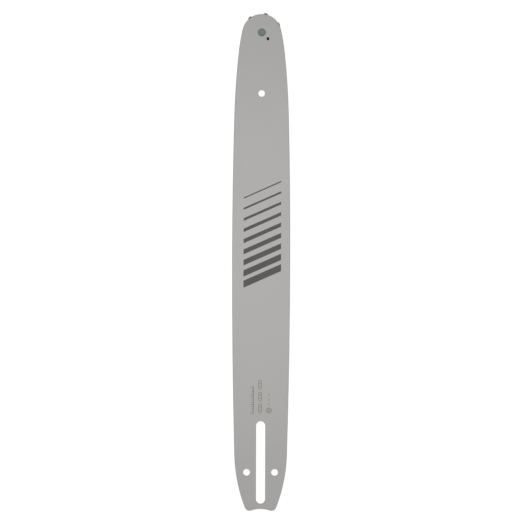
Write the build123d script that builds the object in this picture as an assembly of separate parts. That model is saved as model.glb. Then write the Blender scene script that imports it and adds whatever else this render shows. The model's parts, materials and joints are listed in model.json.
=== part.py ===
from build123d import *
import os
from math import asin, cos, floor, pi, radians, sin, sqrt

# Guide bar of a chainsaw: three steel plies with a chain groove round the edge, and a toothed
# sprocket on a roller bearing in the nose. The bar lies flat with the nose towards +Y. The origin
# is the centre of the stud slot, on the lower face. Sizes are in millimetres and degrees.

# Plies: the core is set back all round, and its edge is the floor of the chain groove.
SIDE_PLATE_THICKNESS = 1.2
GROOVE_WIDTH = 1.1
GROOVE_DEPTH = 6.0
RIM_CHAMFER = 0.3

# Bar length: from the centre of the stud slot to the axis of the nose sprocket.
SLOT_TO_SPROCKET = 389.5

# Nose sprocket: its size follows from the chain's pitch, with one tooth to every two pitches, and
# the web is what the gullets leave round the bore.
CHAIN_PITCH = 9.525
TOOTH_COUNT = 7
TIP_BELOW_CHAIN_RIVETS = 3.5
SPROCKET_WEB = 2.04
TOOTH_TIP_WIDTH = 3.9
TOOTH_TIP_ROUND = 0.5
FIRST_TOOTH_ANGLE = 77.5
POCKET_CLEARANCE = 0.8

# Rails: tangent arcs from the nose to the tail. The nose arc is smaller than the circle of the tooth
# tips and set back from it, so that the teeth stand proud. A slope is a rail's angle to the bar's axis
# where two arcs meet, and the rails are parallel at the belly, between the fore arc and the aft arc.
TOOTH_PROUD = 0.23
NOSE_SETBACK = 1.0
NOSE_END_SLOPE = 13.48
CHEEK_RADIUS = 160.0
CHEEK_END_SLOPE = 6.36
SHOULDER_RADIUS = 690.0
SHOULDER_END_SLOPE = 1.47
FORE_RADIUS = 5000.0
AFT_RADIUS = 6400.0
HEEL_RADIUS = 141.0

# Tail: two round lobes with a shallow hollow between them, and a wall from the slot to the hollow.
LOBE_RADIUS = 4.4
LOBE_SPACING = 20.0
TAIL_HOLLOW = 1.7
TAIL_WALL = 4.5

# Holes for the saw's studs, for its tensioner pin or oil outlet, and for a storage hook.
SLOT_LENGTH = 75.0
SLOT_WIDTH = 8.4
PIN_HOLE_DIAMETER = 6.4
PIN_HOLE_SPACING = 25.4
PIN_HOLE_BEHIND = 9.0
OIL_NOTCH_WIDTH = 3.0
HANGING_HOLE_DIAMETER = 6.2
HANGING_HOLE_STATION = 55.2
HOLE_CHAMFER = 0.2

# Nose bearing: a full row of rollers between the fixed race and the sprocket's bore.
RACE_DIAMETER = 13.4
ROLLER_DIAMETER = 2.4
RUNNING_CLEARANCE = 0.03
SIDE_CLEARANCE = 0.08
GREASE_HOLE_DIAMETER = 2.6
GREASE_HOLE_ANGLE = -45.5

# Nose rivet: flush countersunk heads with a shallow dish left by the forming tool.
RIVET_SHANK_DIAMETER = 5.0
RIVET_HEAD_DIAMETER = 7.3
RIVET_HEAD_DEPTH = 0.9
RIVET_DISH_DIAMETER = 5.4
RIVET_DISH_DEPTH = 0.12
RIVET_FIT = 0.02

# Heights and radii that follow from the sizes above.
BAR_THICKNESS = 2 * SIDE_PLATE_THICKNESS + GROOVE_WIDTH
CORE_TOP = SIDE_PLATE_THICKNESS + GROOVE_WIDTH
MOVING_THICKNESS = GROOVE_WIDTH - 2 * SIDE_CLEARANCE
MOVING_FLOOR = SIDE_PLATE_THICKNESS + SIDE_CLEARANCE
CHAIN_RIVET_CIRCLE = CHAIN_PITCH / (2 * sin(pi / (2 * TOOTH_COUNT)))
TOOTH_TIP_RADIUS = CHAIN_RIVET_CIRCLE - TIP_BELOW_CHAIN_RIVETS
NOSE_RADIUS = TOOTH_TIP_RADIUS - TOOTH_PROUD
ROLLER_CIRCLE = (RACE_DIAMETER + ROLLER_DIAMETER) / 2 + RUNNING_CLEARANCE
ROLLER_COUNT = floor(pi / asin((ROLLER_DIAMETER + RUNNING_CLEARANCE) / (2 * ROLLER_CIRCLE)))
SPROCKET_BORE_RADIUS = ROLLER_CIRCLE + ROLLER_DIAMETER / 2 + RUNNING_CLEARANCE
GULLET_ROOT_RADIUS = SPROCKET_BORE_RADIUS + SPROCKET_WEB
TAIL_END = SLOT_LENGTH / 2 + TAIL_WALL + TAIL_HOLLOW
LOBE_CENTRE = Vector(LOBE_SPACING / 2, LOBE_RADIUS - TAIL_END)
SPROCKET_PLACE = Pos(0, SLOT_TO_SPROCKET, 0)


def polar(radius, angle):
    """Vector of a length and an angle from +X, in degrees."""
    return Vector(radius * cos(radians(angle)), radius * sin(radians(angle)))


def beyond(centre, through, radius):
    """Point at a radius from centre, on the ray from centre through another point."""
    return centre + (through - centre).normalized() * radius


def blend_centre(large_centre, large_radius, small_centre, small_radius, radius):
    """Centre of the arc that runs from a large circle into a small one inside it, tangent to both."""
    large_reach = large_radius - radius
    small_reach = radius - small_radius
    span = small_centre - large_centre
    along = (large_reach**2 - small_reach**2 + span.length**2) / (2 * span.length)
    aside = sqrt(large_reach**2 - along**2)
    ahead = span.normalized()
    return large_centre + ahead * along + Vector(-ahead.Y, ahead.X) * aside


def arc_edge(centre, start, end, inset=0.0):
    """Arc about centre from start to end, drawn nearer to the centre by inset."""
    radius = (start - centre).length - inset
    middle = centre + (start - centre).normalized() + (end - centre).normalized()
    return ThreePointArc(*[beyond(centre, point, radius) for point in (start, middle, end)])


def rail_arcs():
    """The right-hand rail from nose tip to tail lobe, each arc as its centre, start and end."""
    nose_centre = Vector(0, SLOT_TO_SPROCKET - NOSE_SETBACK)
    joint = nose_centre + polar(NOSE_RADIUS, NOSE_END_SLOPE)
    slope = NOSE_END_SLOPE
    arcs = [(nose_centre, nose_centre + Vector(0, NOSE_RADIUS), joint)]
    run = ((CHEEK_RADIUS, CHEEK_END_SLOPE), (SHOULDER_RADIUS, SHOULDER_END_SLOPE), (FORE_RADIUS, 0))
    for radius, end_slope in run:
        centre = joint - polar(radius, slope)
        end = centre + polar(radius, end_slope)
        arcs.append((centre, joint, end))
        joint = end
        slope = end_slope

    aft_centre = joint - Vector(AFT_RADIUS, 0)
    heel_centre = blend_centre(aft_centre, AFT_RADIUS, LOBE_CENTRE, LOBE_RADIUS, HEEL_RADIUS)
    heel = beyond(aft_centre, heel_centre, AFT_RADIUS)
    lobe_joint = beyond(heel_centre, LOBE_CENTRE, HEEL_RADIUS)
    arcs.append((aft_centre, joint, heel))
    arcs.append((heel_centre, heel, lobe_joint))
    return arcs


def tail_hollow_circle():
    """Centre and radius of the hollow in the tail, tangent to both lobes."""
    rise = LOBE_RADIUS - TAIL_HOLLOW
    radius = (LOBE_CENTRE.X**2 + rise**2 - LOBE_RADIUS**2) / (2 * TAIL_HOLLOW)
    return Vector(0, TAIL_HOLLOW - TAIL_END - radius), radius


def symmetric_face(right_edges):
    """Face bounded by edges from nose to tail on the +X side and by their mirror images."""
    left_edges = [mirror(edge, about=Plane.YZ) for edge in right_edges]
    return make_face([*right_edges, *left_edges])


def plate_outline():
    """Outline of a side plate: the rails, the tail lobes and the hollow between them."""
    arcs = rail_arcs()
    hollow_centre, hollow_radius = tail_hollow_circle()
    hollow_joint = beyond(LOBE_CENTRE, hollow_centre, LOBE_RADIUS)
    hollow_top = hollow_centre + Vector(0, hollow_radius)
    lobe_joint = arcs[-1][2]
    arcs.append((LOBE_CENTRE, lobe_joint, hollow_joint))
    arcs.append((hollow_centre, hollow_joint, hollow_top))
    return symmetric_face([arc_edge(*arc) for arc in arcs])


def core_outline():
    """Outline of the core: the rails set in by the groove, cut to the sprocket pocket and the tail."""
    edges = [arc_edge(*arc, GROOVE_DEPTH) for arc in rail_arcs()]
    rail_end = edges[-1] @ 1
    rail_run = edges[-1] % 1
    tail_corner = rail_end + rail_run * ((rail_end.Y + TAIL_END) / -rail_run.Y)
    edges.append(Line(rail_end, tail_corner))
    edges.append(Line(tail_corner, (0, -TAIL_END)))
    hollow_centre, hollow_radius = tail_hollow_circle()
    pocket = SPROCKET_PLACE * Circle(TOOTH_TIP_RADIUS + POCKET_CLEARANCE)
    return symmetric_face(edges) - Pos(*hollow_centre) * Circle(hollow_radius) - pocket


def common_holes():
    """Stud slot, the two pin holes beside it and the hanging hole, which pass through every ply."""
    hanging_place = Pos(0, SLOT_TO_SPROCKET - HANGING_HOLE_STATION)
    holes = SlotOverall(SLOT_LENGTH, SLOT_WIDTH, rotation=90)
    holes += hanging_place * Circle(HANGING_HOLE_DIAMETER / 2)
    for side in (-1, 1):
        holes += Pos(side * PIN_HOLE_SPACING / 2, -PIN_HOLE_BEHIND) * Circle(PIN_HOLE_DIAMETER / 2)
    return holes


def side_plate():
    """Side plate with its inner face on the XY plane and its outer face above, chamfered at each edge."""
    grease_place = SPROCKET_PLACE * Pos(*polar(ROLLER_CIRCLE, GREASE_HOLE_ANGLE))
    holes = common_holes() + grease_place * Circle(GREASE_HOLE_DIAMETER / 2)
    plate = extrude(plate_outline() - holes, SIDE_PLATE_THICKNESS)
    outer_face = plate.faces().sort_by(Axis.Z)[-1]
    plate = chamfer(outer_face.outer_wire().edges(), RIM_CHAMFER)
    outer_face = plate.faces().sort_by(Axis.Z)[-1]
    plate = chamfer(outer_face.inner_wires().edges(), HOLE_CHAMFER)

    shank_hole = Circle(RIVET_SHANK_DIAMETER / 2 + RIVET_FIT)
    countersink = Cone(
        RIVET_SHANK_DIAMETER / 2 + RIVET_FIT,
        RIVET_HEAD_DIAMETER / 2 + RIVET_FIT,
        RIVET_HEAD_DEPTH,
        align=(Align.CENTER, Align.CENTER, Align.MIN),
    )
    plate -= SPROCKET_PLACE * extrude(shank_hole, SIDE_PLATE_THICKNESS)
    return plate - SPROCKET_PLACE * Pos(0, 0, SIDE_PLATE_THICKNESS - RIVET_HEAD_DEPTH) * countersink


def core_plate():
    """Core ply, with a notch that lets oil run from each pin hole into the groove.

    A notch starts at the middle of its hole and reaches as far out as the core does at the belly.
    """
    outline = core_outline() - common_holes()
    belly = rail_arcs()[-2][1]
    notch_length = belly.X - GROOVE_DEPTH - PIN_HOLE_SPACING / 2
    for side in (-1, 1):
        notch_middle = side * (PIN_HOLE_SPACING + notch_length) / 2
        outline -= Pos(notch_middle, -PIN_HOLE_BEHIND) * Rectangle(notch_length, OIL_NOTCH_WIDTH)
    return Pos(0, 0, SIDE_PLATE_THICKNESS) * extrude(outline, GROOVE_WIDTH)


def nose_sprocket():
    """Star sprocket: round gullets cut from a disc, tooth tips rounded, bored for the rollers."""
    half_pitch_angle = 180 / TOOTH_COUNT
    corner = polar(TOOTH_TIP_RADIUS, half_pitch_angle) - polar(TOOTH_TIP_WIDTH / 2, half_pitch_angle + 90)
    corner_reach = corner.normalized().X * TOOTH_TIP_RADIUS
    gullet_circle = (TOOTH_TIP_RADIUS**2 - GULLET_ROOT_RADIUS**2) / (2 * (corner_reach - GULLET_ROOT_RADIUS))
    blank = Circle(TOOTH_TIP_RADIUS)
    for index in range(TOOTH_COUNT):
        angle = FIRST_TOOTH_ANGLE + (2 * index + 1) * half_pitch_angle
        blank -= Pos(*polar(gullet_circle, angle)) * Circle(gullet_circle - GULLET_ROOT_RADIUS)
    blank = fillet(blank.vertices(), min(TOOTH_TIP_ROUND, TOOTH_TIP_WIDTH / 3))
    blank -= Circle(SPROCKET_BORE_RADIUS)
    return SPROCKET_PLACE * Pos(0, 0, MOVING_FLOOR) * extrude(blank, MOVING_THICKNESS)


def inner_race():
    """Fixed race, clamped between the side plates round the rivet."""
    ring = Circle(RACE_DIAMETER / 2) - Circle(RIVET_SHANK_DIAMETER / 2 + RIVET_FIT)
    return SPROCKET_PLACE * Pos(0, 0, SIDE_PLATE_THICKNESS) * extrude(ring, GROOVE_WIDTH)


def roller(index):
    """One roller of the full row, the first one under the grease hole."""
    angle = GREASE_HOLE_ANGLE + index * 360 / ROLLER_COUNT
    place = SPROCKET_PLACE * Pos(*polar(ROLLER_CIRCLE, angle)) * Pos(0, 0, MOVING_FLOOR)
    return place * extrude(Circle(ROLLER_DIAMETER / 2), MOVING_THICKNESS)


def nose_rivet():
    """Rivet revolved from its half section, with the same dished head at both faces."""
    head = RIVET_HEAD_DIAMETER / 2
    shank = RIVET_SHANK_DIAMETER / 2
    dish = RIVET_DISH_DIAMETER / 2
    face = BAR_THICKNESS / 2
    neck = face - RIVET_HEAD_DEPTH
    dish_floor = face - RIVET_DISH_DEPTH
    upper = [
        TangentArc((0, dish_floor), (dish, face), tangent=(1, 0)),
        Polyline((dish, face), (head, face), (shank, neck), (shank, 0)),
    ]
    lower = [mirror(line, about=Plane.XZ) for line in upper]
    section = make_face([*upper, *lower, Line((0, dish_floor), (0, -dish_floor))])
    return SPROCKET_PLACE * Pos(0, 0, face) * revolve(Plane.XZ * section, Axis.Z)


outer_ply = side_plate()
pieces = {
    "top_side_plate": Pos(0, 0, CORE_TOP) * outer_ply,
    "bottom_side_plate": Pos(0, 0, SIDE_PLATE_THICKNESS) * mirror(outer_ply, about=Plane.XY),
    "core_plate": core_plate(),
    "nose_sprocket": nose_sprocket(),
    "inner_race": inner_race(),
    "nose_rivet": nose_rivet(),
}
for number in range(ROLLER_COUNT):
    pieces[f"roller_{number + 1:02d}"] = roller(number)

os.makedirs("parts", exist_ok=True)
for name, shape in pieces.items():
    export_step(shape, f"parts/{name}.step")
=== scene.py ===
"""Looks of a laminated chainsaw guide bar with a sprocket in its nose.

The plies, the sprocket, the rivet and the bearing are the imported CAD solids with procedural
finishes. The printed stripes and the etched signs are thin surfaces on the upper face. Everything
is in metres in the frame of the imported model: +Y to the nose, +Z to the upper face, and the origin
at the centre of the stud slot on the lower face.
"""

import json
import logging
from dataclasses import dataclass, replace
from enum import Enum
from math import pi, radians, tan
from typing import Any

import bpy
import numpy as np
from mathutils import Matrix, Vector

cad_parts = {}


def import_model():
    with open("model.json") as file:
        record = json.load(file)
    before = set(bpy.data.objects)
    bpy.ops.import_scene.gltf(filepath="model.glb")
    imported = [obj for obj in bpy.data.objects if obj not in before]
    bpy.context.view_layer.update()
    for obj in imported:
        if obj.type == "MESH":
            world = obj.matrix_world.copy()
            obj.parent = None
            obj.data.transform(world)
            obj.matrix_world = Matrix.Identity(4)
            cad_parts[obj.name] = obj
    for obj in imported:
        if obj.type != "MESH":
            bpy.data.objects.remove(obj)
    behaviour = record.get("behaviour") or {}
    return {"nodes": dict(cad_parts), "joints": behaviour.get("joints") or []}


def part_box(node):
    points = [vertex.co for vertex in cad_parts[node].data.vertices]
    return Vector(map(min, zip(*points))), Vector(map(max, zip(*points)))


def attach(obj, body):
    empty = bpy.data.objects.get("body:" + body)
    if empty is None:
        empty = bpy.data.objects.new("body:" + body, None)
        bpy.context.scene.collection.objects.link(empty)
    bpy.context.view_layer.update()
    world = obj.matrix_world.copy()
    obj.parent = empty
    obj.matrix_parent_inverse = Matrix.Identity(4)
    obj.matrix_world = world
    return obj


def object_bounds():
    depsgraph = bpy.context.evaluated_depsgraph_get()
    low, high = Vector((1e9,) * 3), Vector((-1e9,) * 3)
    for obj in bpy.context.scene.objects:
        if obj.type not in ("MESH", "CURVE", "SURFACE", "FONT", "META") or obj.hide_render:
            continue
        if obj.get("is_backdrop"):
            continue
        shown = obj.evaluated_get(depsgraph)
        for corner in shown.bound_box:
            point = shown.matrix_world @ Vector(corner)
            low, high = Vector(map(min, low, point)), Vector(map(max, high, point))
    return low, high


LOG = logging.getLogger("guide_bar")
MM = 0.001
NOSE_JOINT = "sprocket_spin"

Colour = tuple[float, float, float, float]
Triple = tuple[float, float, float]
Pair = tuple[float, float]
Nodes = dict[str, bpy.types.Object]
Socket = bpy.types.NodeSocket

EVEN: Triple = (1.0, 1.0, 1.0)
UNIT: Pair = (0.0, 1.0)


def srgb(red: int, green: int, blue: int) -> Colour:
    """Turn display levels into a linear colour with the sRGB curve.

    Args:
        red: Red level, 0 to 255.
        green: Green level, 0 to 255.
        blue: Blue level, 0 to 255.

    Returns:
        The linear colour with an alpha of one.
    """
    level = np.array([red, green, blue]) / 255
    linear = np.where(level <= 0.04045, level / 12.92, ((level + 0.055) / 1.055) ** 2.4)
    return (*linear.tolist(), 1.0)


def grey(level: float) -> Colour:
    """Return the neutral colour of a linear level."""
    return (level, level, level, 1.0)


class NodeGraph:
    """Adds nodes to one node tree and wires them together.

    A Mix node keeps a pair of inputs for each kind of data: 2 and 3 for values, 6 and 7 for colours.
    """

    BUMP_STRENGTH = 0.5

    def __init__(self, tree: bpy.types.NodeTree) -> None:
        """Work on the given node tree."""
        self.tree = tree

    @classmethod
    def emptied(cls, owner: bpy.types.Material | bpy.types.World) -> "NodeGraph":
        """Empty the node tree of a material or a world and work on it.

        Args:
            owner: The material or world.

        Returns:
            The graph of its node tree.
        """
        owner.use_nodes = True
        owner.node_tree.nodes.clear()
        return cls(owner.node_tree)

    def add(
        self, kind: str, inputs: dict[str | int, Any] | None = None, **settings: Any
    ) -> bpy.types.Node:
        """Add a node, set its options and feed its inputs.

        Args:
            kind: Type name of the node.
            inputs: Socket name or index, with a plain value or the socket that feeds it.
            **settings: Options of the node itself.

        Returns:
            The new node.
        """
        node = self.tree.nodes.new(kind)
        for name, setting in settings.items():
            setattr(node, name, setting)
        for key, value in (inputs or {}).items():
            if isinstance(value, Socket):
                self.tree.links.new(value, node.inputs[key])
            else:
                node.inputs[key].default_value = value
        return node

    def math(self, operation: str, *values: Any) -> Socket:
        """Return the result of a Math node on values or sockets."""
        return self.add("ShaderNodeMath", dict(enumerate(values)), operation=operation).outputs[0]

    def vector(self, operation: str, *values: Any) -> Socket:
        """Return the vector result of a Vector Math node on values or sockets."""
        inputs = dict(enumerate(values))
        return self.add("ShaderNodeVectorMath", inputs, operation=operation).outputs[0]

    def mix(self, factor: Any, first: Any, second: Any) -> Socket:
        """Return a value that goes from first to second as factor goes from 0 to 1."""
        return self.add("ShaderNodeMix", {0: factor, 2: first, 3: second}).outputs[0]

    def blend(self, factor: Any, first: Any, second: Any) -> Socket:
        """Return a colour that goes from first to second as factor goes from 0 to 1."""
        inputs = {0: factor, 6: first, 7: second}
        return self.add("ShaderNodeMix", inputs, data_type="RGBA").outputs[2]

    def span(self, value: Any, result: Pair, source: Pair = UNIT) -> Socket:
        """Map a value linearly from one range to another, held at the ends.

        Args:
            value: The value or socket to map.
            result: What the two ends of the source range become.
            source: The range that the value comes from.

        Returns:
            The socket with the mapped value.
        """
        ends = dict(zip(("From Min", "From Max", "To Min", "To Max"), (*source, *result)))
        return self.add("ShaderNodeMapRange", {"Value": value, **ends}).outputs["Result"]

    def raised(self, height: Socket, depth: float) -> Socket:
        """Return the normal of a surface that a height from 0 to 1 raises by a depth in metres."""
        inputs = {"Strength": self.BUMP_STRENGTH, "Distance": depth, "Height": height}
        return self.add("ShaderNodeBump", inputs).outputs["Normal"]


class Effect(Enum):
    """Shader node groups that several finishes share."""

    GRAIN = "surface_grain"
    CUT_EDGE = "cut_edge"
    TURNED = "turned_rings"


@dataclass(frozen=True)
class Grain:
    """Size of a grain in metres, and how far it is drawn out along each axis."""

    size: float
    stretch: Triple = EVEN


class EffectLibrary:
    """Builds each shared shader node group once and places it in materials."""

    NOISE_DETAIL = 3.0
    NOISE_ROUGHNESS = 0.55
    # The part of the noise's range that is spread to 0 to 1.
    NOISE_RANGE: Pair = (0.25, 0.75)
    # The normal's part along Z where a surface is wholly cut, and where it is wholly a flat face.
    CUT_RANGE: Pair = (0.86, 0.98)
    WAVE_RANGE: Pair = (-1.0, 1.0)

    def __init__(self) -> None:
        """Build every group."""
        self.trees: dict[Effect, bpy.types.ShaderNodeTree] = {
            Effect.GRAIN: self._grain(),
            Effect.CUT_EDGE: self._cut_edge(),
            Effect.TURNED: self._turned(),
        }

    @staticmethod
    def _group(
        effect: Effect, inputs: dict[str, str], outputs: list[str]
    ) -> tuple[NodeGraph, bpy.types.NodeOutputs]:
        """Start an empty group with named sockets.

        Args:
            effect: Which effect the group holds.
            inputs: Name and socket type of each input.
            outputs: Name of each value that the group puts out.

        Returns:
            The group's graph, and the sockets that bring its inputs in.
        """
        tree = bpy.data.node_groups.new(effect.value, "ShaderNodeTree")
        for name, kind in inputs.items():
            tree.interface.new_socket(name, in_out="INPUT", socket_type=kind)
        for name in outputs:
            tree.interface.new_socket(name, in_out="OUTPUT", socket_type="NodeSocketFloat")
        graph = NodeGraph(tree)
        return graph, graph.add("NodeGroupInput").outputs

    def _grain(self) -> bpy.types.ShaderNodeTree:
        """Noise of a given grain size, drawn out along the axes by a stretch, spread to 0 to 1.

        Returns:
            The group.
        """
        sockets = {"Size": "NodeSocketFloat", "Stretch": "NodeSocketVector"}
        graph, given = self._group(Effect.GRAIN, sockets, ["Grain"])
        place = graph.add("ShaderNodeTexCoord").outputs["Object"]
        inputs = {
            "Vector": graph.vector("DIVIDE", place, given["Stretch"]),
            "Scale": graph.math("DIVIDE", 1.0, given["Size"]),
            "Detail": self.NOISE_DETAIL,
            "Roughness": self.NOISE_ROUGHNESS,
        }
        noise = graph.add("ShaderNodeTexNoise", inputs).outputs["Fac"]
        graph.add("NodeGroupOutput", {"Grain": graph.span(noise, UNIT, self.NOISE_RANGE)})
        return graph.tree

    def _cut_edge(self) -> bpy.types.ShaderNodeTree:
        """Mask of what turns away from the bar's flat faces: rails, chamfers and hole walls.

        Returns:
            The group.
        """
        graph, _ = self._group(Effect.CUT_EDGE, {}, ["Cut"])
        normal = graph.add("ShaderNodeTexCoord").outputs["Normal"]
        upward = graph.add("ShaderNodeSeparateXYZ", {0: normal}).outputs["Z"]
        cut = graph.span(graph.math("ABSOLUTE", upward), (1.0, 0.0), self.CUT_RANGE)
        graph.add("NodeGroupOutput", {"Cut": cut})
        return graph.tree

    def _turned(self) -> bpy.types.ShaderNodeTree:
        """Sine wave of the distance from an axis along Z, as a lathe leaves, and that distance.

        Returns:
            The group.
        """
        sockets = {"Centre": "NodeSocketVector", "Pitch": "NodeSocketFloat"}
        graph, given = self._group(Effect.TURNED, sockets, ["Ring", "Radius"])
        place = graph.add("ShaderNodeTexCoord").outputs["Object"]
        arm = graph.vector("SUBTRACT", place, given["Centre"])
        level_arm = graph.vector("MULTIPLY", arm, (1.0, 1.0, 0.0))
        length = graph.add("ShaderNodeVectorMath", {0: level_arm}, operation="LENGTH")
        radius = length.outputs["Value"]
        turns = graph.math("DIVIDE", radius, given["Pitch"])
        wave = graph.math("SINE", graph.math("MULTIPLY", turns, 2 * pi))
        ring = graph.span(wave, UNIT, self.WAVE_RANGE)
        graph.add("NodeGroupOutput", {"Ring": ring, "Radius": radius})
        return graph.tree

    def place(self, graph: NodeGraph, effect: Effect, **inputs: Any) -> bpy.types.NodeOutputs:
        """Place a group in a material with its own inputs, and return the group's outputs."""
        return graph.add("ShaderNodeGroup", inputs, node_tree=self.trees[effect]).outputs

    def grain(self, graph: NodeGraph, grain: Grain) -> Socket:
        """Place a grain in a material and return its value."""
        return self.place(graph, Effect.GRAIN, Size=grain.size, Stretch=grain.stretch)["Grain"]


@dataclass(frozen=True)
class Finish:
    """A surface finish that is built as one material."""

    name: str

    def build(self, effects: EffectLibrary) -> bpy.types.Material:
        """Make a material with a Principled shader that the finish's own nodes feed.

        Args:
            effects: The shared node groups.

        Returns:
            The finished material.
        """
        material = bpy.data.materials.new(self.name)
        graph = NodeGraph.emptied(material)
        shader = graph.add("ShaderNodeBsdfPrincipled", self.inputs(graph, effects))
        graph.add("ShaderNodeOutputMaterial", {"Surface": shader.outputs["BSDF"]})
        return material

    def inputs(self, graph: NodeGraph, effects: EffectLibrary) -> dict[str, Any]:
        """Return the shader's inputs by name; each kind of finish has its own."""
        raise NotImplementedError


@dataclass(frozen=True)
class CoatFinish(Finish):
    """Matte coat on rolled steel, with bare ground steel wherever the ply is cut.

    A gloss is the range of the roughness, and a share is the part that the named grain takes.
    """

    light: Colour
    dark: Colour
    bright_fleck: Colour
    dark_fleck: Colour
    bare: Colour
    bare_dark: Colour
    fleck: Grain = Grain(0.22 * MM)
    cloud: Grain = Grain(26 * MM, (1.0, 2.2, 1.0))
    rolling: Grain = Grain(0.5 * MM, (1.0, 40.0, 1.0))
    grind: Grain = Grain(0.09 * MM, (60.0, 60.0, 1.0))
    rolling_share: float = 0.4
    fleck_share: float = 0.5
    coat_gloss: Pair = (0.50, 0.62)
    bare_gloss: Pair = (0.28, 0.42)
    bare_metallic: float = 0.85
    relief: float = 0.01 * MM

    def inputs(self, graph: NodeGraph, effects: EffectLibrary) -> dict[str, Any]:
        """Mix fine flecks, soft clouds and lengthwise rolling marks, then bare the cut edges.

        Args:
            graph: The material's graph.
            effects: The shared node groups.

        Returns:
            The shader's inputs by name.
        """
        fleck = effects.grain(graph, self.fleck)
        cloud = effects.grain(graph, self.cloud)
        rolling = effects.grain(graph, self.rolling)
        grind = effects.grain(graph, self.grind)
        cut = effects.place(graph, Effect.CUT_EDGE)["Cut"]
        tone = graph.mix(self.rolling_share, cloud, rolling)
        film = graph.blend(tone, self.dark, self.light)
        flecks = graph.blend(fleck, self.dark_fleck, self.bright_fleck)
        coat = graph.blend(self.fleck_share, film, flecks)
        steel = graph.blend(grind, self.bare_dark, self.bare)
        coat_gloss = graph.span(fleck, self.coat_gloss)
        bare_gloss = graph.span(grind, self.bare_gloss)
        return {
            "Base Color": graph.blend(cut, coat, steel),
            "Metallic": graph.math("MULTIPLY", cut, self.bare_metallic),
            "Roughness": graph.mix(cut, coat_gloss, bare_gloss),
            "Normal": graph.raised(graph.mix(cut, fleck, grind), self.relief),
        }


@dataclass(frozen=True)
class RolledSteel(Finish):
    """Plain steel with a directional grain and darker oil stains."""

    light: Colour
    dark: Colour
    grain: Grain = Grain(0.15 * MM, (1.0, 30.0, 1.0))
    stain: Grain = Grain(3 * MM)
    grain_share: float = 0.4
    gloss: Pair = (0.35, 0.5)
    metallic: float = 0.9
    shine: float = 0.5
    relief: float = 0.006 * MM

    def inputs(self, graph: NodeGraph, effects: EffectLibrary) -> dict[str, Any]:
        """Mix the grain with the stains for colour and gloss, and raise the grain a little.

        Args:
            graph: The material's graph.
            effects: The shared node groups.

        Returns:
            The shader's inputs by name.
        """
        grain = effects.grain(graph, self.grain)
        stain = effects.grain(graph, self.stain)
        tone = graph.mix(self.grain_share, stain, grain)
        return {
            "Base Color": graph.blend(tone, self.dark, self.light),
            "Metallic": self.metallic,
            "Roughness": graph.span(stain, self.gloss),
            "Specular IOR Level": self.shine,
            "Normal": graph.raised(grain, self.relief),
        }


@dataclass(frozen=True)
class TurnedSteel(Finish):
    """Steel turned about an axis along Z, with one colour at its middle and another at its rim."""

    inner: Colour
    outer: Colour
    dark: Colour
    inner_radius: float
    outer_radius: float
    ring_pitch: float
    axis: Triple = (0.0, 0.0, 0.0)
    stain: Grain = Grain(1.5 * MM)
    fleck: Grain = Grain(0.12 * MM)
    dark_share: float = 0.5
    fleck_share: float = 0.3
    fleck_relief: float = 0.4
    gloss: Pair = (0.35, 0.48)
    metallic: float = 0.9
    relief: float = 0.01 * MM

    def inputs(self, graph: NodeGraph, effects: EffectLibrary) -> dict[str, Any]:
        """Blend the colours by the radius, darken them by stains and raise fine lathe rings.

        Args:
            graph: The material's graph.
            effects: The shared node groups.

        Returns:
            The shader's inputs by name.
        """
        turned = effects.place(graph, Effect.TURNED, Centre=self.axis, Pitch=self.ring_pitch)
        stain = effects.grain(graph, self.stain)
        fleck = effects.grain(graph, self.fleck)
        rim = graph.span(turned["Radius"], UNIT, (self.inner_radius, self.outer_radius))
        clean = graph.blend(rim, self.inner, self.outer)
        patches = graph.mix(self.fleck_share, stain, fleck)
        shade = graph.math("MULTIPLY", patches, self.dark_share)
        height = graph.mix(self.fleck_relief, turned["Ring"], fleck)
        return {
            "Base Color": graph.blend(shade, clean, self.dark),
            "Metallic": self.metallic,
            "Roughness": graph.span(stain, self.gloss),
            "Normal": graph.raised(height, self.relief),
        }


@dataclass(frozen=True)
class InkFinish(Finish):
    """Matte ink or etch stain, a little uneven where it was laid down."""

    full: Colour
    thin: Colour
    speck: Grain = Grain(0.3 * MM)
    cloud: Grain = Grain(12 * MM)
    speck_share: float = 0.5
    gloss: Pair = (0.62, 0.78)
    shine: float = 0.2
    relief: float = 0.005 * MM

    def inputs(self, graph: NodeGraph, effects: EffectLibrary) -> dict[str, Any]:
        """Mix full and thin ink by fine specks and broad clouds.

        Args:
            graph: The material's graph.
            effects: The shared node groups.

        Returns:
            The shader's inputs by name.
        """
        speck = effects.grain(graph, self.speck)
        cloud = effects.grain(graph, self.cloud)
        tone = graph.mix(self.speck_share, cloud, speck)
        return {
            "Base Color": graph.blend(tone, self.full, self.thin),
            "Roughness": graph.span(speck, self.gloss),
            "Specular IOR Level": self.shine,
            "Normal": graph.raised(speck, self.relief),
        }


@dataclass(frozen=True)
class Surface:
    """Points and four-sided faces of a mesh, as whole arrays."""

    points: np.ndarray
    faces: np.ndarray

    @staticmethod
    def joined(surfaces: list["Surface"]) -> "Surface":
        """Put several surfaces into one, each one's faces counted on from the last.

        Args:
            surfaces: The surfaces to join.

        Returns:
            One surface with all points and faces.
        """
        starts = np.cumsum([0] + [len(surface.points) for surface in surfaces[:-1]])
        points = [surface.points for surface in surfaces]
        faces = [surface.faces + start for surface, start in zip(surfaces, starts)]
        return Surface(np.concatenate(points), np.concatenate(faces))

    def to_object(self, name: str, material: bpy.types.Material) -> bpy.types.Object:
        """Make a mesh object of the surface.

        Args:
            name: Name of the piece.
            material: Its finish.

        Returns:
            The object, at the origin.
        """
        mesh = bpy.data.meshes.new(name)
        mesh.from_pydata(self.points.tolist(), [], self.faces.tolist())
        mesh.materials.append(material)
        piece = bpy.data.objects.new(name, mesh)
        bpy.context.scene.collection.objects.link(piece)
        return piece


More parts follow.
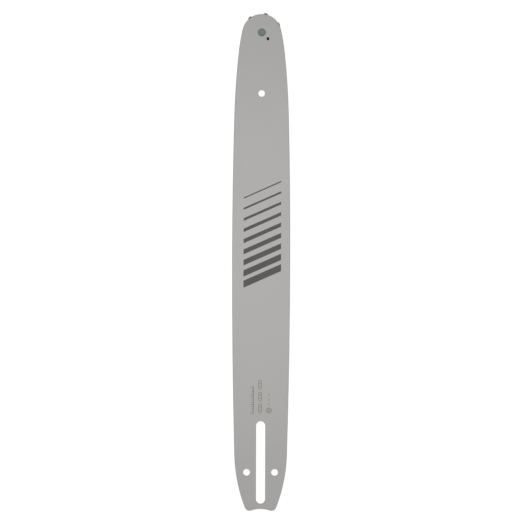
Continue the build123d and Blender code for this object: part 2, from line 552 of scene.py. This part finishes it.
@dataclass(frozen=True)
class Band:
    """A flat band between two edges, each with one row of x and y per station along it."""

    left: np.ndarray
    right: np.ndarray
    closed: bool = False

    @classmethod
    def stroke(cls, path: np.ndarray, width: float, closed: bool = False) -> "Band":
        """Set a path out to both sides by half a width, with mitred corners.

        Where two runs with unit normals a and b meet, the corner moves by half the width times
        (a + b) / (1 + a.b).

        Args:
            path: Points of the path, one row of x and y each.
            width: Width of the stroke.
            closed: Whether the last point joins the first.

        Returns:
            The stroke.
        """
        ends = np.roll(path, -1, axis=0) if closed else path[1:]
        runs = ends - path[: len(ends)]
        lengths = np.linalg.norm(runs, axis=1)[:, None]
        normals = np.stack([-runs[:, 1], runs[:, 0]], axis=1) / lengths
        if closed:
            before, after = np.roll(normals, 1, axis=0), normals
        else:
            before = np.vstack([normals[:1], normals])
            after = np.vstack([normals, normals[-1:]])
        mitre = (before + after) / (1 + np.sum(before * after, axis=1))[:, None]
        return cls(path + mitre * width / 2, path - mitre * width / 2, closed)

    def turned(self, start: float, place: float) -> "Band":
        """Turn a band that is laid along +X by a quarter turn, so that it runs along the bar.

        A point at (along, across) goes to (place - across, start + along).

        Args:
            start: Where the band's row starts along the bar.
            place: Where the row lies across the bar.

        Returns:
            The turned band.
        """
        quarter = np.array([[0.0, 1.0], [-1.0, 0.0]])
        corner = np.array([place, start])
        return Band(self.left @ quarter + corner, self.right @ quarter + corner, self.closed)

    def slab(self, floor: float, top: float) -> Surface:
        """Carry a rectangle along the band: at each station it spans from edge to edge.

        The section has four corners, left and right at the floor and right and left at the top.
        Each station's corners join the next station's, and an open band is capped at both ends.

        Args:
            floor: Height of the underside.
            top: Height of the upper side.

        Returns:
            The closed slab.
        """
        corners = np.stack([self.left, self.right, self.right, self.left], axis=1)
        heights = np.broadcast_to([[floor], [floor], [top], [top]], (*corners.shape[:2], 1))
        points = np.concatenate([corners, heights], axis=2).reshape(-1, 3)
        index = np.arange(len(points)).reshape(corners.shape[:2])
        here = index if self.closed else index[:-1]
        beyond = np.roll(index, -1, axis=0)[: len(here)]
        sides = [here, beyond, np.roll(beyond, -1, axis=1), np.roll(here, -1, axis=1)]
        faces = np.stack(sides, axis=2).reshape(-1, 4)
        if self.closed:
            return Surface(points, faces)
        caps = np.stack([index[0], index[-1, ::-1]])
        return Surface(points, np.concatenate([faces, caps]))


def dress_node(node: bpy.types.Object, material: bpy.types.Material) -> None:
    """Put a finish on a CAD node and report it.

    Args:
        node: The node's object.
        material: Its finish.
    """
    for slot in node.material_slots:
        slot.material = material
    LOG.info("dressed %s in %s", node.name, material.name)


@dataclass
class Plies:
    """The two side plates and the core between them."""

    nodes: Nodes
    coat: CoatFinish
    core: RolledSteel

    def dress(self, effects: EffectLibrary) -> None:
        """Give the side plates their coat and the core its steel.

        Args:
            effects: The shared node groups.
        """
        coat = self.coat.build(effects)
        for name in ("top_side_plate", "bottom_side_plate"):
            dress_node(self.nodes[name], coat)
        dress_node(self.nodes["core_plate"], self.core.build(effects))


@dataclass
class NoseBearing:
    """The sprocket in the nose, with its rivet, race and row of rollers."""

    nodes: Nodes
    axis: Triple
    sprocket: TurnedSteel
    rivet: TurnedSteel
    bearing: RolledSteel

    def dress(self, effects: EffectLibrary) -> None:
        """Give each piece of the bearing its steel, turned about the nose's axis or greased.

        Args:
            effects: The shared node groups.
        """
        for name, finish in (("nose_sprocket", self.sprocket), ("nose_rivet", self.rivet)):
            dress_node(self.nodes[name], replace(finish, axis=self.axis).build(effects))
        greased = self.bearing.build(effects)
        for name in sorted(self.nodes):
            if name == "inner_race" or name.startswith("roller_"):
                dress_node(self.nodes[name], greased)


@dataclass
class Mark:
    """A thin print on the upper face of the bar, made of flat bands."""

    level: float
    finish: InkFinish
    thickness: float = 0.02 * MM

    def build(self, name: str, effects: EffectLibrary) -> bpy.types.Object:
        """Raise the mark's bands from the face and let them ride on the bar as one piece.

        Args:
            name: Name of the piece.
            effects: The shared node groups.

        Returns:
            The piece.
        """
        slabs = [band.slab(self.level, self.level + self.thickness) for band in self.bands()]
        piece = Surface.joined(slabs).to_object(name, self.finish.build(effects))
        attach(piece, "bar")
        LOG.info("built %s with %d faces", name, len(piece.data.polygons))
        return piece

    def bands(self) -> list[Band]:
        """Work out the mark's bands; each kind of mark has its own."""
        raise NotImplementedError


@dataclass
class StripePrint(Mark):
    """Slanted stripes across the middle of the bar, heavier towards the saw.

    The length runs along the bar between the middles of the end stripes, and the slant is in degrees.
    """

    centre: Pair = (1.0 * MM, 208.0 * MM)
    length: float = 78 * MM
    width: float = 34 * MM
    slant: float = 24.0
    count: int = 9
    heaviest: float = 6.4 * MM
    lightest: float = 1.2 * MM

    def bands(self) -> list[Band]:
        """Parallelograms in a row: each one's edges run across the bar and rise by the slant.

        Returns:
            One band for each stripe.
        """
        across = np.array([-0.5, 0.5]) * self.width
        rise = across * tan(radians(self.slant))
        line = np.stack([across, rise], axis=1) + self.centre
        rows = np.linspace(-0.5, 0.5, self.count) * self.length
        halves = np.linspace(self.heaviest, self.lightest, self.count) / 2
        return [
            Band(line + (0.0, row + half), line + (0.0, row - half))
            for row, half in zip(rows, halves)
        ]


@dataclass(frozen=True)
class Sign:
    """A small sign in a row along +X, drawn with lines of one width."""

    line: float = 0.42 * MM
    ring_points: int = 84

    def bands(self) -> list[Band]:
        """Work out the sign's lines; each kind of sign has its own."""
        raise NotImplementedError

    def run(self, start: Pair, end: Pair) -> Band:
        """Return a straight line from one point to another."""
        return Band.stroke(np.array([start, end]), self.line)

    def ring(self, along: float, radius: float, wave: float = 0.0, teeth: int = 0) -> Band:
        """Draw a closed ring: its radius is a mean radius plus a cosine with one crest to a tooth.

        Args:
            along: Where the ring's centre lies along the row.
            radius: Mean radius.
            wave: Height of the crests.
            teeth: Number of crests.

        Returns:
            The ring.
        """
        angle = np.linspace(0, 2 * pi, self.ring_points, endpoint=False)
        reach = radius + wave * np.cos(teeth * angle)
        path = np.stack([along + reach * np.cos(angle), reach * np.sin(angle)], axis=1)
        return Band.stroke(path, self.line, closed=True)


@dataclass(frozen=True)
class ScaleSign(Sign):
    """A measuring scale: a base line with ticks, some of them long."""

    length: float = 24.0 * MM
    base: float = -1.6 * MM
    short: float = 0.1 * MM
    long: float = 1.7 * MM
    ticks: int = 13
    long_every: int = 4

    def bands(self) -> list[Band]:
        """Ticks at even steps from end to end, each from the base line to its own height.

        Returns:
            The base line and the ticks.
        """
        inset = self.line / 2
        places = np.linspace(inset, self.length - inset, self.ticks)
        heights = np.where(np.arange(self.ticks) % self.long_every, self.short, self.long)
        base = self.run((0.0, self.base), (self.length, self.base))
        ticks = [self.run((place, self.base), (place, top)) for place, top in zip(places, heights)]
        return [base, *ticks]


@dataclass(frozen=True)
class PinSign(Sign):
    """Pins in a row, joined in pairs by two bars."""

    first: float = 1.6 * MM
    pitch: float = 5.4 * MM
    pairs: int = 3
    radius: float = 1.35 * MM
    bar_inset: float = 1.1 * MM
    bar_side: float = 1.25 * MM

    def bands(self) -> list[Band]:
        """Rings at even steps, and two bars that join the rings of each pair.

        Returns:
            The rings and the bars.
        """
        places = self.first + self.pitch * np.arange(2 * self.pairs)
        reach = self.pitch - self.bar_inset
        bars = [
            self.run((place + self.bar_inset, side), (place + reach, side))
            for place in places[::2]
            for side in (-self.bar_side, self.bar_side)
        ]
        return [self.ring(place, self.radius) for place in places] + bars


@dataclass(frozen=True)
class WheelSign(Sign):
    """A toothed wheel with a hub, and dashes in line behind it."""

    centre: float = 2.6 * MM
    radius: float = 2.1 * MM
    tooth: float = 0.4 * MM
    teeth: int = 7
    hub_radius: float = 0.7 * MM
    first_dash: float = 7.4 * MM
    dash_pitch: float = 4.0 * MM
    dash_length: float = 2.4 * MM
    dashes: int = 3

    def bands(self) -> list[Band]:
        """A waved ring round a plain one, and dashes at even steps.

        Returns:
            The rings and the dashes.
        """
        wheel = self.ring(self.centre, self.radius, self.tooth, self.teeth)
        hub = self.ring(self.centre, self.hub_radius)
        starts = self.first_dash + self.dash_pitch * np.arange(self.dashes)
        dashes = [self.run((start, 0.0), (start + self.dash_length, 0.0)) for start in starts]
        return [wheel, hub, *dashes]


@dataclass
class EtchedSigns(Mark):
    """Small technical signs near the tail, in rows that run along the bar."""

    start: float = 44.5 * MM
    rows: tuple[tuple[Sign, float], ...] = (
        (ScaleSign(), -8.2 * MM),
        (PinSign(), -0.6 * MM),
        (WheelSign(), 7.4 * MM),
    )

    def bands(self) -> list[Band]:
        """Turn each sign's row to run along the bar.

        Returns:
            The lines of all signs.
        """
        return [
            band.turned(self.start, place)
            for sign, place in self.rows
            for band in sign.bands()
        ]


@dataclass
class Studio:
    """Floor, lamp, world and camera.

    Places and sizes are in metres, the glow, the whites and the ambient light are linear levels, the
    lamp's power is in watts, the lens and the sensor are in millimetres, and the roll is in degrees.
    """

    rest_level: float
    aim_level: float
    floor_gap: float = 0.05 * MM
    floor_size: float = 24.0
    floor_glow: float = 0.82
    floor_white: float = 0.3
    bounce_white: float = 0.75
    ambient: float = 0.345
    lamp_place: Triple = (-0.02, 0.2, 0.52)
    lamp_size: float = 0.45
    lamp_power: float = 2.05
    camera_aim: Pair = (-1.05 * MM, 183.4 * MM)
    camera_width: float = 471.0 * MM
    camera_lens: float = 220.0
    camera_sensor: float = 36.0
    camera_reach: float = 50.0
    camera_roll: float = 0.166

    def build(self) -> None:
        """Set up everything around the bar."""
        self._floor()
        self._lamp()
        self._world()
        self._camera()
        bpy.context.scene.view_settings.view_transform = "Standard"

    @staticmethod
    def _seen(graph: NodeGraph) -> Socket:
        """Find the rays that show the background: from the camera, off gloss or through glass.

        Args:
            graph: The graph of the floor or the world.

        Returns:
            One for those rays, and nought for the rest.
        """
        path = graph.add("ShaderNodeLightPath").outputs
        direct = graph.math("MAXIMUM", path["Is Camera Ray"], path["Is Glossy Ray"])
        return graph.math("MAXIMUM", direct, path["Is Transmission Ray"])

    def _floor(self) -> None:
        """Lay a floor that looks white, keeps a soft shadow and is clear from below."""
        material = bpy.data.materials.new("studio_floor")
        graph = NodeGraph.emptied(material)
        seen = self._seen(graph)
        strength = graph.math("MULTIPLY", seen, self.floor_glow)
        glow = graph.add("ShaderNodeEmission", {"Strength": strength})
        shade = graph.blend(seen, grey(self.bounce_white), grey(self.floor_white))
        matte = graph.add("ShaderNodeBsdfDiffuse", {"Color": shade})
        lit = graph.add("ShaderNodeAddShader", {0: glow.outputs[0], 1: matte.outputs[0]})
        below = graph.add("ShaderNodeNewGeometry").outputs["Backfacing"]
        clear = graph.add("ShaderNodeBsdfTransparent")
        inputs = {0: below, 1: lit.outputs[0], 2: clear.outputs[0]}
        shader = graph.add("ShaderNodeMixShader", inputs)
        graph.add("ShaderNodeOutputMaterial", {"Surface": shader.outputs[0]})
        corners = np.array([[-0.5, -0.5], [0.5, -0.5], [0.5, 0.5], [-0.5, 0.5]]) * self.floor_size
        points = np.column_stack([corners, np.full(4, self.rest_level - self.floor_gap)])
        floor = Surface(points, np.array([[0, 1, 2, 3]])).to_object("studio_floor", material)
        floor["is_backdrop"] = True

    def _lamp(self) -> None:
        """Hang a square soft lamp over the middle of the bar."""
        light = bpy.data.lights.new("soft_lamp", "AREA")
        light.size = self.lamp_size
        light.energy = self.lamp_power
        lamp = bpy.data.objects.new("soft_lamp", light)
        lamp.location = self.lamp_place
        lamp.visible_camera = False
        bpy.context.scene.collection.objects.link(lamp)

    def _world(self) -> None:
        """Light the scene evenly from all round, and look white behind it."""
        world = bpy.data.worlds.new("studio")
        graph = NodeGraph.emptied(world)
        strength = graph.span(self._seen(graph), (self.ambient, 1.0))
        sky = graph.add("ShaderNodeBackground", {"Color": grey(1.0), "Strength": strength})
        graph.add("ShaderNodeOutputWorld", {"Surface": sky.outputs[0]})
        bpy.context.scene.world = world

    def _camera(self) -> None:
        """Look straight down, from where the lens shows the camera's width of the upper face."""
        data = bpy.data.cameras.new("photo_camera")
        data.lens = self.camera_lens
        data.sensor_width = self.camera_sensor
        data.clip_end = self.camera_reach
        camera = bpy.data.objects.new("photo_camera", data)
        distance = self.camera_width * self.camera_lens / self.camera_sensor
        camera.location = (*self.camera_aim, self.aim_level + distance)
        camera.rotation_euler = (0.0, 0.0, radians(self.camera_roll))
        bpy.context.scene.collection.objects.link(camera)
        bpy.context.scene.camera = camera


PLATE_COAT = CoatFinish(
    "plate_coat",
    light=srgb(170, 169, 167),
    dark=srgb(162, 161, 160),
    bright_fleck=srgb(179, 178, 176),
    dark_fleck=srgb(152, 151, 150),
    bare=srgb(134, 132, 128),
    bare_dark=srgb(104, 102, 98),
)
CORE_STEEL = RolledSteel("core_steel", light=srgb(128, 124, 119), dark=srgb(88, 82, 76))
SPROCKET_STEEL = TurnedSteel(
    "sprocket_steel",
    inner=srgb(84, 77, 72),
    outer=srgb(98, 90, 84),
    dark=srgb(58, 51, 46),
    inner_radius=14 * MM,
    outer_radius=18 * MM,
    ring_pitch=0.4 * MM,
)
RIVET_STEEL = TurnedSteel(
    "rivet_steel",
    inner=srgb(97, 106, 106),
    outer=srgb(84, 96, 98),
    dark=srgb(74, 85, 87),
    inner_radius=2.0 * MM,
    outer_radius=3.2 * MM,
    ring_pitch=0.35 * MM,
    gloss=(0.5, 0.62),
    metallic=0.5,
    relief=0.02 * MM,
)
BEARING_STEEL = RolledSteel(
    "greased_steel",
    light=srgb(46, 18, 9),
    dark=srgb(26, 7, 3),
    grain=Grain(0.15 * MM),
    stain=Grain(1.0 * MM),
    gloss=(0.45, 0.6),
    metallic=0.0,
    shine=0.1,
)
STRIPE_INK = InkFinish("stripe_ink", full=srgb(78, 77, 76), thin=srgb(92, 91, 90))
ETCH_STAIN = InkFinish("etch_stain", full=srgb(112, 102, 88), thin=srgb(128, 118, 105))


def main() -> None:
    """Load the frame, dress its nodes, and add the marks and the studio."""
    logging.basicConfig(level=logging.INFO, format="%(name)s: %(message)s")
    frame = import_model()
    cad_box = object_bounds()
    nodes: Nodes = frame["nodes"]
    axis = next(joint["pos_m"] for joint in frame["joints"] if joint["name"] == NOSE_JOINT)
    effects = EffectLibrary()
    Plies(nodes, PLATE_COAT, CORE_STEEL).dress(effects)
    NoseBearing(nodes, axis, SPROCKET_STEEL, RIVET_STEEL, BEARING_STEEL).dress(effects)
    upper_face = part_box("top_side_plate")[1].z
    StripePrint(upper_face, STRIPE_INK).build("stripe_print", effects)
    EtchedSigns(upper_face, ETCH_STAIN).build("etched_signs", effects)
    Studio(rest_level=cad_box[0].z, aim_level=upper_face).build()


if __name__ == "__main__":
    main()
